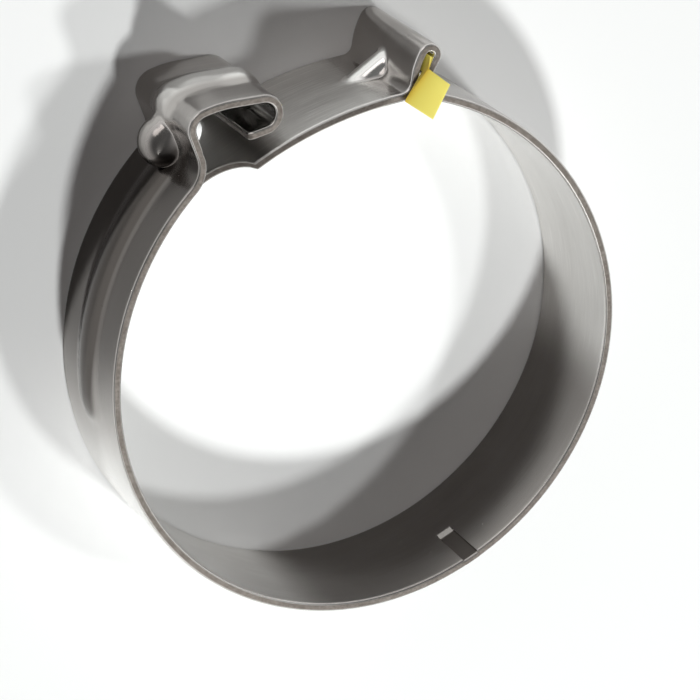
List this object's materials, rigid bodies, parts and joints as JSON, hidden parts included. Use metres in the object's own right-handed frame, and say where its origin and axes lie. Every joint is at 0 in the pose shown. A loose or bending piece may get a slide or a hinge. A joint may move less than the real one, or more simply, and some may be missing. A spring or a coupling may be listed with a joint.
{
  "type": "snap lock hose clamp",
  "caption": "Open snap-lock hose clamp folded from a spring-steel strip, with a hook, a folded ear and a tongue that slides under the hook as it closes.",
  "frame": {"origin": "centre of the seat arc, in the plane of the strip's back edge, on which the clamp lies", "axes": "+Z along the bore axis from the back edge to the front edge; the closure is at -Y, with the hook on its +X side and the ear on its -X side"},
  "size_m": [0.064, 0.0686, 0.017],
  "materials": {
    "spring_steel": "satin",
    "tag_plastic": "satin"
  },
  "bodies": {
    "root": {"clamp_band": "spring_steel", "yellow_tag": "tag_plastic"}
  },
  "joints": []
}
